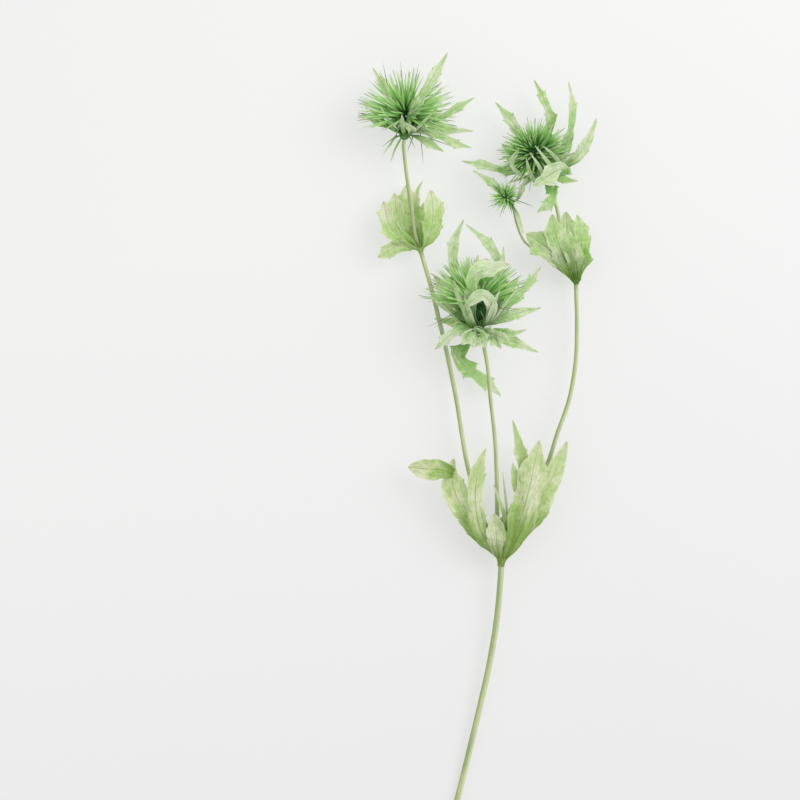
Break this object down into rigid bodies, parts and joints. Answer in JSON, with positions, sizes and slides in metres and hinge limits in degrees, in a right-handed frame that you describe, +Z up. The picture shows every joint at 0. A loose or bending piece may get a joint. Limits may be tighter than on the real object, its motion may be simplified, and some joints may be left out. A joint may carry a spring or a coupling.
{
  "type": "sea holly stem",
  "caption": "Cut stem of green sea holly lying on its side: it forks at a whorl of leaves into branches that end in spiny flower heads and a bud",
  "frame": {"origin": "middle of the footprint, on the surface that the stem lies on", "axes": "+Y from the stem's cut end towards the flower heads, +Z up, +X to the right as seen from above with the heads away from the viewer"},
  "size_m": [0.1442, 0.4789, 0.0564],
  "materials": {
    "stem_green": "dull, faintly ribbed stem",
    "leaf_green": "thin, dry and matte, with pale veins",
    "bract_green": "thin, dry and matte, with pale veins",
    "cone_green": "dull and bristly"
  },
  "bodies": {
    "root": {"stem": "stem_green", "main_whorl": "leaf_green", "left_whorl": "leaf_green", "right_whorl": "leaf_green", "left_head_bracts": "bract_green", "left_head_cone": "cone_green", "centre_head_bracts": "bract_green", "centre_head_cone": "cone_green", "right_head_bracts": "bract_green", "right_head_cone": "cone_green", "bud_bracts": "bract_green", "bud_cone": "cone_green"}
  },
  "joints": []
}
